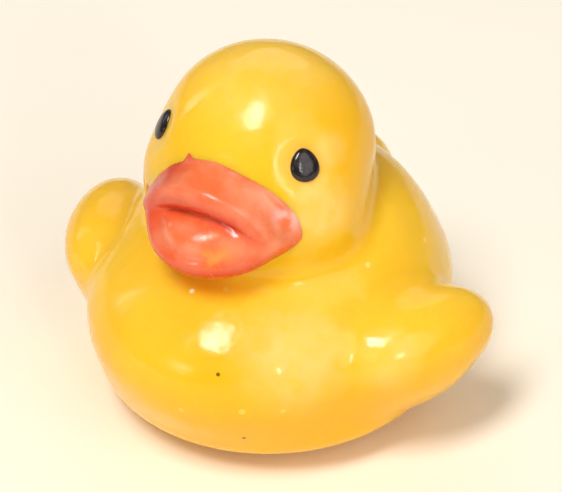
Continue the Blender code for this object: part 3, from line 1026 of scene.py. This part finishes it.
@dataclass
class MouldedBody:
    """The whole duck in one moulding: trunk, head, wings, tail and the bill's relief."""

    form: DuckForm
    finish: YellowVinyl
    coat: "PaintedBill"
    cell: float = 0.34 * MM
    lobe_subdivisions: int = 5
    relax_rounds: int = 3
    relax_share: float = 0.5
    sink: float = 0.45 * MM
    sink_margin: float = 5.0
    sink_start: float = 0.3

    def build(self) -> bpy.types.Object:
        """Build the body and dress it in vinyl.

        Returns:
            The finished piece.
        """
        bm = self.even_mesh()
        for _ in range(self.relax_rounds):
            bmesh.ops.smooth_vert(
                bm, verts=bm.verts, factor=self.relax_share,
                use_axis_x=True, use_axis_y=True, use_axis_z=True,
            )
            self.form.settle(bm)
        self.sink_under_coat(bm)
        self.cut_flat_base(bm)
        bmesh.ops.recalc_face_normals(bm, faces=bm.faces)
        piece = add_piece("moulded_body", bm, self.finish.material())
        write_painted_shade(piece, self.form.crease_share)
        stand_in_for(piece, "body")
        return piece

    def even_mesh(self) -> bmesh.types.BMesh:
        """Wrap all the lobes in one fine even mesh.

        Returns:
            The mesh, still without fillets.
        """
        form = self.form
        lobes = form.trunk_lobes + form.head_lobes + form.bill_lobes + form.wing_lobes
        lobes += [lobe.mirrored() for lobe in form.wing_lobes]
        bm = bmesh.new()
        for lobe in lobes:
            bmesh.ops.create_icosphere(
                bm, subdivisions=self.lobe_subdivisions, radius=1.0, matrix=lobe.placement(),
            )
        guide = add_piece("guide", bm, bpy.data.materials.new("guide"))
        remesh = guide.modifiers.new("even_cells", "REMESH")
        remesh.mode = "VOXEL"
        remesh.voxel_size = self.cell
        even = bmesh.new()
        even.from_mesh(guide.evaluated_get(bpy.context.evaluated_depsgraph_get()).to_mesh())
        bpy.data.objects.remove(guide, do_unlink=True)
        return even

    def sink_under_coat(self, bm: bmesh.types.BMesh) -> None:
        """Sink the vinyl a little under the coral coat, so that it never shows through it.

        Args:
            bm: The body's mesh.
        """
        bm.verts.ensure_lookup_table()
        points = np.array([vert.co for vert in bm.verts])
        azimuth, elevation = self.form.seen_from_bill(points)
        _, _, top, bottom = self.coat.edges(azimuth / self.coat.side_angle)
        inside = np.minimum(top - elevation, elevation - bottom) / self.sink_margin
        inside = np.clip(inside - self.sink_start, 0, 1)
        inside = np.where(np.abs(azimuth) < self.coat.side_angle, inside, 0)
        core = self.form.bill_core
        for index in np.nonzero(inside > 0)[0]:
            sight = points[index] - core
            reach = np.linalg.norm(sight)
            if reach < self.coat.greatest_reach:
                bm.verts[index].co = core + sight * (1 - self.sink * inside[index] / reach)

    def cut_flat_base(self, bm: bmesh.types.BMesh) -> None:
        """Cut the underside flat where the duck stands.

        Args:
            bm: The body's mesh.
        """
        geometry = bm.verts[:] + bm.edges[:] + bm.faces[:]
        bmesh.ops.bisect_plane(
            bm, geom=geometry, plane_co=(0, 0, 0), plane_no=(0, 0, 1), clear_inner=True,
        )
        rim = [edge for edge in bm.edges if edge.is_boundary]
        bmesh.ops.edgeloop_fill(bm, edges=rim)


def coat_shell(
    form: DuckForm, core: np.ndarray, across_cells: int, up_cells: int, root: float, place: Layout,
) -> bmesh.types.BMesh:
    """Make a closed coat of paint that lies on the form.

    Args:
        form: The form under it.
        core: The point inside the form that sees all of the coat.
        across_cells: How many cells it has from corner to corner.
        up_cells: How many cells it has from its lower to its upper edge.
        root: How deep its inner side lies under the surface.
        place: Gives directions and heights for places from -1 to 1 across and up.

    Returns:
        The coat's mesh.
    """
    bm = bmesh.new()
    bmesh.ops.create_grid(bm, x_segments=across_cells, y_segments=up_cells, size=1.0)
    outer = list(bm.verts)
    grown = bmesh.ops.extrude_face_region(bm, geom=bm.faces[:], use_keep_orig=True)
    inner = [item for item in grown["geom"] if isinstance(item, bmesh.types.BMVert)]
    for verts, share in ((outer, 1.0), (inner, 0.0)):
        places = np.array([vert.co[:2] for vert in verts])
        directions, heights = place(np.sin(places[:, 0] * math.pi / 2), places[:, 1])
        level = heights * share - root * (1 - share)
        points = form.traced(core, directions, level, form.distance)
        for vert, point in zip(verts, points):
            vert.co = point
    bmesh.ops.remove_doubles(bm, verts=bm.verts, dist=MERGE_DISTANCE)
    bmesh.ops.recalc_face_normals(bm, faces=bm.faces)
    return bm


@dataclass(frozen=True)
class Stroke:
    """One wander of the brushed edge: where it is, how far it runs to each side, how high, its lean."""

    azimuth: float
    right_spread: float
    left_spread: float
    height: float
    lean: float = 0.0

    def share(self, degrees: np.ndarray) -> np.ndarray:
        """Find how fully the stroke acts.

        Args:
            degrees: Azimuths in degrees.

        Returns:
            The share at each, from 0 to 1.
        """
        away = degrees - self.azimuth
        return np.exp(-((away / np.where(away < 0, self.right_spread, self.left_spread)) ** 2))


@dataclass
class PaintedBill:
    """The coral coat that covers the bill up to its pointed oval edge on the face."""

    form: DuckForm
    finish: CoralPaint
    across_cells: int = 190
    up_cells: int = 100
    thickness: float = 0.2 * MM
    root: float = 0.12 * MM
    edge_dip: float = 0.08 * MM
    edge_sharpness: int = 12
    side_angle: float = 76.0
    corner_angle: float = -3.0
    top_angle: float = 60.0
    bottom_angle: float = 38.0
    left_fullness: float = 2.0
    right_fullness: float = 1.65
    bottom_fullness: float = 1.5
    wander_fade: float = 4.0
    lean_power: int = 12
    greatest_reach: float = 13.0 * MM
    strokes: tuple[Stroke, ...] = (
        Stroke(azimuth=-36.5, right_spread=3.0, left_spread=4.4, height=3.8, lean=-6.0),
        Stroke(azimuth=-67.0, right_spread=10.0, left_spread=9.5, height=-17.0),
        Stroke(azimuth=-30.0, right_spread=14.0, left_spread=14.0, height=2.4),
    )

    def build(self) -> bpy.types.Object:
        """Build the coat and dress it in coral enamel.

        Returns:
            The finished piece.
        """
        bm = coat_shell(
            self.form, self.form.bill_core, self.across_cells, self.up_cells, self.root, self.place,
        )
        piece = add_piece("coral_bill", bm, self.finish.material())
        write_painted_shade(piece, self.form.shade_share)
        stand_in_for(piece, "bill_paint")
        return piece

    def edges(self, across: np.ndarray) -> tuple[np.ndarray, np.ndarray, np.ndarray, np.ndarray]:
        """Find the coat's edges as the bill's core sees them.

        Args:
            across: Places from one corner of the mouth, -1, to the other, 1.

        Returns:
            The azimuth of each place and the elevations of the mouth, the upper edge and the lower edge.
        """
        degrees = self.side_angle * across
        fullness = np.where(across > 0, self.left_fullness, self.right_fullness)
        upper = np.clip(1 - np.abs(across) ** fullness, 0, 1) ** (1 / fullness)
        lower = np.clip(1 - np.abs(across) ** self.bottom_fullness, 0, 1)
        lower = lower ** (1 / self.bottom_fullness)
        wander = sum(stroke.height * stroke.share(degrees) for stroke in self.strokes)
        wander = wander * np.clip(self.wander_fade * upper, 0, 1)
        top = self.corner_angle + self.top_angle * upper + wander
        bottom = self.corner_angle - self.bottom_angle * lower
        bow = self.form.mouth_bow * degrees**2
        mouth = self.corner_angle + (self.form.mouth_angle - self.corner_angle - bow) * lower
        return degrees, mouth, top, bottom

    def place(self, across: np.ndarray, up: np.ndarray) -> tuple[np.ndarray, np.ndarray]:
        """Lay out the coat as the bill's core sees it.

        Args:
            across: Places from one corner of the mouth, -1, to the other, 1.
            up: Places from the lower edge, -1, to the upper edge, 1.

        Returns:
            Unit directions from the core, and the coat's height at each.
        """
        degrees, mouth, top, bottom = self.edges(across)
        elevation = np.radians(mouth + np.where(up > 0, top - mouth, mouth - bottom) * up)
        lean = sum(stroke.lean * stroke.share(degrees) for stroke in self.strokes)
        azimuth = np.radians(degrees + lean * np.clip(up, 0, 1) ** self.lean_power)
        level = np.cos(elevation)
        directions = np.stack(
            [np.sin(azimuth) * level, -np.cos(azimuth) * level, np.sin(elevation)], axis=-1,
        )
        rim = np.sqrt(across**2 + up**2 * (1 - across**2))
        fall = np.sqrt(np.clip(1 - rim**self.edge_sharpness, 0, 1))
        return directions, self.thickness * fall - self.edge_dip * (1 - fall)


@dataclass
class PaintedEye:
    """A raised drop of black paint, narrower at its top, seated in a shallow dish."""

    form: DuckForm
    finish: BlackEnamel
    side: Side
    width: float = 3.1 * MM
    height: float = 3.5 * MM
    taper: float = 0.2
    cells: int = 48
    thickness: float = 0.5 * MM
    root: float = 0.12 * MM
    edge_dip: float = 0.05 * MM
    edge_sharpness: int = 3

    def build(self) -> bpy.types.Object:
        """Build the eye and dress it in black enamel.

        Returns:
            The finished piece.
        """
        bm = coat_shell(self.form, self.form.head_core, self.cells, self.cells, self.root, self.place)
        side = self.side.name.lower()
        piece = add_piece(side + "_pupil", bm, self.finish.material())
        stand_in_for(piece, side + "_eye")
        return piece

    def place(self, across: np.ndarray, up: np.ndarray) -> tuple[np.ndarray, np.ndarray]:
        """Lay out the drop as the crown's middle sees it.

        Args:
            across: Places from one side, -1, to the other, 1.
            up: Places from the lower edge, -1, to the upper edge, 1.

        Returns:
            Unit directions from the crown's middle, and the drop's height at each.
        """
        outward = self.form.eye_direction(self.side)
        sideways = np.cross((0.0, 0.0, 1.0), outward)
        sideways /= np.linalg.norm(sideways)
        upward = np.cross(outward, sideways)
        radius = np.linalg.norm(self.form.eye_points[self.side] - self.form.head_core)
        raised = up * np.sqrt(1 - across**2)
        width = self.width / 2 * across * (1 - self.taper * raised)
        height = self.height / 2 * raised
        directions = outward * radius + sideways * width[:, None] + upward * height[:, None]
        directions /= np.linalg.norm(directions, axis=-1, keepdims=True)
        rim = np.clip(np.sqrt(across**2 + raised**2), 0, 1)
        fall = np.sqrt(np.clip(1 - rim**self.edge_sharpness, 0, 1))
        return directions, self.thickness * fall - self.edge_dip * (1 - fall)


@dataclass(frozen=True)
class Lamp:
    """One soft lamp that faces the duck: its direction round it, distance, face and brightness."""

    name: str
    azimuth: float
    elevation: float
    distance: float
    width: float
    height: float
    brightness: float


@dataclass
class Studio:
    """The pale floor, the soft lamps and the camera."""

    paper: CreamPaper
    lamps: tuple[Lamp, ...] = (
        Lamp("ceiling_panel", -3.0, 60.0, 1.0, 0.28, 0.48, 21.6),
        Lamp("side_window", -86.0, 24.0, 1.0, 0.1, 0.6, 3.1),
        Lamp("back_window", -150.0, 42.0, 1.0, 0.9, 0.6, 0.9),
        Lamp("right_window", 66.0, 34.0, 1.0, 0.8, 1.1, 1.6),
        Lamp("front_strip", 50.0, 25.0, 1.0, 0.05, 0.2, 30.0),
        Lamp("low_strip", -15.0, 17.0, 1.0, 0.22, 0.14, 7.6),
    )
    room_colour: str = "#fffaf2"
    room_strength: float = 0.2
    floor_size: float = 3.0
    target: tuple[float, float, float] = (0.0, -0.6 * MM, 13.1 * MM)
    azimuth: float = 30.88
    elevation: float = 34.24
    distance: float = 266.36 * MM
    lens: float = 157.0
    sensor_width: float = 36.0
    nearest: float = 0.01
    shift_x: float = 0.022
    shift_y: float = 0.0643

    def build(self) -> None:
        """Build the floor, the lamps and the camera."""
        self.add_floor()
        self.add_world()
        for lamp in self.lamps:
            self.add_lamp(lamp)
        self.add_camera()

    def add_floor(self) -> None:
        """Add the sheet of paper that the duck stands on."""
        bm = bmesh.new()
        bmesh.ops.create_grid(bm, x_segments=1, y_segments=1, size=self.floor_size / 2)
        floor = add_piece("paper_floor", bm, self.paper.material())

    def add_world(self) -> None:
        """Add the even light of the room."""
        world = bpy.data.worlds.new("room")
        world.use_nodes = True
        tree = world.node_tree
        tree.nodes.clear()
        output = add_node(tree, "ShaderNodeOutputWorld")
        room = add_node(
            tree, "ShaderNodeBackground",
            {"Color": srgb(self.room_colour), "Strength": self.room_strength},
        )
        tree.links.new(room.outputs["Background"], output.inputs["Surface"])
        bpy.context.scene.world = world

    def add_lamp(self, lamp: Lamp) -> None:
        """Add one lamp, whose power follows from its face and its brightness.

        Args:
            lamp: The lamp.
        """
        data = bpy.data.lights.new(lamp.name, "AREA")
        data.shape = "ELLIPSE"
        data.size = lamp.width
        data.size_y = lamp.height
        face = math.pi / 4 * lamp.width * lamp.height
        data.energy = lamp.brightness * math.pi * face
        piece = bpy.data.objects.new(lamp.name, data)
        back = self.direction(lamp.azimuth, lamp.elevation)
        piece.location = Vector(self.target) + back * lamp.distance
        piece.rotation_euler = back.to_track_quat("Z", "Y").to_euler()
        bpy.context.collection.objects.link(piece)

    def add_camera(self) -> None:
        """Add the camera at the photograph's angle."""
        data = bpy.data.cameras.new("camera")
        data.lens = self.lens
        data.sensor_width = self.sensor_width
        data.shift_x = self.shift_x
        data.shift_y = self.shift_y
        data.clip_start = self.nearest
        camera = bpy.data.objects.new("camera", data)
        back = self.direction(self.azimuth, self.elevation)
        camera.location = Vector(self.target) + back * self.distance
        camera.rotation_euler = back.to_track_quat("Z", "Y").to_euler()
        bpy.context.collection.objects.link(camera)
        bpy.context.scene.camera = camera

    @staticmethod
    def direction(azimuth: float, elevation: float) -> Vector:
        """Find the direction from the duck to a place round it.

        Args:
            azimuth: The angle from the front in degrees, towards the duck's left.
            elevation: The angle above the floor in degrees.

        Returns:
            The unit direction.
        """
        turn = math.radians(azimuth)
        rise = math.radians(elevation)
        return Vector(
            (math.sin(turn) * math.cos(rise), -math.cos(turn) * math.cos(rise), math.sin(rise))
        )


def main() -> None:
    """Build the duck and its studio in order."""
    bpy.context.scene.view_settings.view_transform = "Standard"
    form = DuckForm()
    bill = PaintedBill(form, CoralPaint())
    parts = [MouldedBody(form, YellowVinyl(), bill), bill]
    parts += [PaintedEye(form, BlackEnamel(), side) for side in Side]
    for part in parts:
        piece = part.build()
        log.info("%s: %d faces", piece.name, len(piece.data.polygons))
    studio = Studio(CreamPaper())
    studio.build()
    log.info("studio: floor, camera and %d lamps", len(studio.lamps))


if __name__ == "__main__":
    logging.basicConfig(level=logging.INFO, format="%(name)s: %(message)s")
    main()
